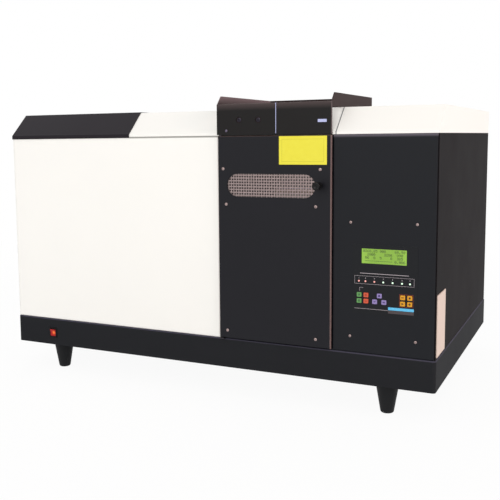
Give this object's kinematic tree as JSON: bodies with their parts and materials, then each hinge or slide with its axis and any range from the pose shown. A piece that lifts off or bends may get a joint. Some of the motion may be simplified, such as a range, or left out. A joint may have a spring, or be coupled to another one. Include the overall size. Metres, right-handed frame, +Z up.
{
  "type": "atomic absorption spectrometer",
  "caption": "Bench spectrometer: black plinth, white covers, hinged lamp lid, burner bay behind a door with a mesh window, hood, and a control panel with display and sprung keys.",
  "frame": {"origin": "on the bench, at the middle of the whole part's footprint", "axes": "+X to the user's right along the long side, -Y towards the user, +Z up"},
  "size_m": [0.88, 0.623, 0.5594],
  "materials": {
    "black_paint": "satin",
    "white_paint": "satin",
    "pale_plate": "satin",
    "yellow_plate": "satin",
    "bay_steel": "brushed",
    "steel_mesh": "satin",
    "screw_steel": "satin",
    "bright_metal": "polished",
    "burner_steel": "satin",
    "machined_aluminium": "satin",
    "cast_case": "matte",
    "black_metal": "matte",
    "brass": "satin",
    "transformer_iron": "matte",
    "black_plastic": "matte",
    "grey_plastic": "matte",
    "red_plastic": "gloss",
    "overlay_film": "satin",
    "board_green": "matte",
    "lamp_lens": "gloss",
    "display_glass": "gloss",
    "lamp_glass": "gloss",
    "lens_glass": "gloss",
    "mirror_face": "polished",
    "green_key": "satin",
    "red_key": "satin",
    "purple_key": "satin",
    "amber_key": "satin"
  },
  "bodies": {
    "cabinet": {"plinth": "black_paint", "base_plate": "black_paint", "feet": "black_plastic", "left_front_panel": "white_paint", "left_side_panel": "white_paint", "right_side_panel": "black_paint", "side_plate": "pale_plate", "rear_panel": "black_paint", "left_top_cover": "white_paint", "right_top_cover": "white_paint", "hood_shell": "black_paint", "hood_apron_left": "black_paint", "hood_apron_right": "black_paint", "hood_trim": "bright_metal", "hinge_pins": "screw_steel", "cabinet_screws": "screw_steel", "right_front_panel": "black_paint", "control_overlay": "overlay_film", "display_window": "display_glass", "display_board": "board_green", "status_lamps": "lamp_lens", "switch_bezel": "black_plastic", "fan_frame": "black_plastic", "mains_inlet": "black_plastic", "gas_fittings": "brass", "bay_walls": "bay_steel", "drip_tray": "bay_steel", "burner_stand": "machined_aluminium", "optical_bench": "machined_aluminium", "lens_mounts": "machined_aluminium", "lenses": "lens_glass", "monochromator_case": "cast_case", "monochromator_lid": "cast_case", "detector": "black_metal", "gas_block": "machined_aluminium", "transformer": "transformer_iron"},
    "lamp_lid": {"lamp_lid": "black_paint"},
    "burner_door": {"burner_door": "black_paint", "door_mesh": "steel_mesh", "door_knob": "black_plastic", "door_screws": "screw_steel", "door_plate": "yellow_plate"},
    "power_rocker": {"power_rocker": "red_plastic"},
    "fan_rotor": {"fan_rotor": "black_plastic"},
    "burner_carriage": {"burner_carriage": "grey_plastic"},
    "burner_head": {"burner_head": "burner_steel"},
    "lamp_turret": {"lamp_turret": "machined_aluminium", "cathode_lamps": "lamp_glass"},
    "grating_table": {"grating_table": "mirror_face"},
    "key_green_upper": {"key_green_upper": "green_key"},
    "key_green_lower": {"key_green_lower": "green_key"},
    "key_red_upper": {"key_red_upper": "red_key"},
    "key_red_lower": {"key_red_lower": "red_key"},
    "key_purple_upper": {"key_purple_upper": "purple_key"},
    "key_purple_left": {"key_purple_left": "purple_key"},
    "key_purple_right": {"key_purple_right": "purple_key"},
    "key_amber_upper_left": {"key_amber_upper_left": "amber_key"},
    "key_amber_upper_right": {"key_amber_upper_right": "amber_key"},
    "key_amber_lower_left": {"key_amber_lower_left": "amber_key"},
    "key_amber_lower_right": {"key_amber_lower_right": "amber_key"}
  },
  "joints": [
    {"name": "lid_hinge", "type": "hinge", "parent": "cabinet", "child": "lamp_lid", "pos_m": [-0.29425, 0.026, 0.5388], "axis": [1, 0, 0], "range_deg": [-100, 0]},
    {"name": "door_hinge", "type": "hinge", "parent": "cabinet", "child": "burner_door", "pos_m": [0.0488, -0.28, 0.3985], "axis": [0, 0, 1], "range_deg": [-110, 0]},
    {"name": "rocker_pivot", "type": "hinge", "parent": "cabinet", "child": "power_rocker", "pos_m": [-0.3487, -0.27745, 0.0822], "axis": [1, 0, 0], "range_deg": [-16, 0]},
    {"name": "fan_spin", "type": "hinge", "parent": "cabinet", "child": "fan_rotor", "pos_m": [-0.2885, 0.2755, 0.346], "axis": [0, 1, 0], "continuous": true},
    {"name": "burner_lift", "type": "slide", "parent": "cabinet", "child": "burner_carriage", "axis": [0, 0, 1], "range_m": [-0.01, 0.01]},
    {"name": "burner_turn", "type": "hinge", "parent": "burner_carriage", "child": "burner_head", "pos_m": [0.1513, -0.1275, 0.3652], "axis": [0, 0, 1], "range_deg": [-90, 90]},
    {"name": "turret_spin", "type": "hinge", "parent": "cabinet", "child": "lamp_turret", "pos_m": [-0.3465, -0.1275, 0.3565], "axis": [1, 0, 0], "continuous": true},
    {"name": "grating_turn", "type": "hinge", "parent": "cabinet", "child": "grating_table", "pos_m": [0.37335, 0.1055, 0.3575], "axis": [0, 0, 1], "range_deg": [-30, 30]},
    {"name": "key_green_upper_press", "type": "slide", "parent": "cabinet", "child": "key_green_upper", "axis": [0, 1, 0], "range_m": [0, 0.0006], "stiffness_N_per_m": 1500},
    {"name": "key_green_lower_press", "type": "slide", "parent": "cabinet", "child": "key_green_lower", "axis": [0, 1, 0], "range_m": [0, 0.0006], "stiffness_N_per_m": 1500},
    {"name": "key_red_upper_press", "type": "slide", "parent": "cabinet", "child": "key_red_upper", "axis": [0, 1, 0], "range_m": [0, 0.0006], "stiffness_N_per_m": 1500},
    {"name": "key_red_lower_press", "type": "slide", "parent": "cabinet", "child": "key_red_lower", "axis": [0, 1, 0], "range_m": [0, 0.0006], "stiffness_N_per_m": 1500},
    {"name": "key_purple_upper_press", "type": "slide", "parent": "cabinet", "child": "key_purple_upper", "axis": [0, 1, 0], "range_m": [0, 0.0006], "stiffness_N_per_m": 1500},
    {"name": "key_purple_left_press", "type": "slide", "parent": "cabinet", "child": "key_purple_left", "axis": [0, 1, 0], "range_m": [0, 0.0006], "stiffness_N_per_m": 1500},
    {"name": "key_purple_right_press", "type": "slide", "parent": "cabinet", "child": "key_purple_right", "axis": [0, 1, 0], "range_m": [0, 0.0006], "stiffness_N_per_m": 1500},
    {"name": "key_amber_upper_left_press", "type": "slide", "parent": "cabinet", "child": "key_amber_upper_left", "axis": [0, 1, 0], "range_m": [0, 0.0006], "stiffness_N_per_m": 1500},
    {"name": "key_amber_upper_right_press", "type": "slide", "parent": "cabinet", "child": "key_amber_upper_right", "axis": [0, 1, 0], "range_m": [0, 0.0006], "stiffness_N_per_m": 1500},
    {"name": "key_amber_lower_left_press", "type": "slide", "parent": "cabinet", "child": "key_amber_lower_left", "axis": [0, 1, 0], "range_m": [0, 0.0006], "stiffness_N_per_m": 1500},
    {"name": "key_amber_lower_right_press", "type": "slide", "parent": "cabinet", "child": "key_amber_lower_right", "axis": [0, 1, 0], "range_m": [0, 0.0006], "stiffness_N_per_m": 1500}
  ]
}
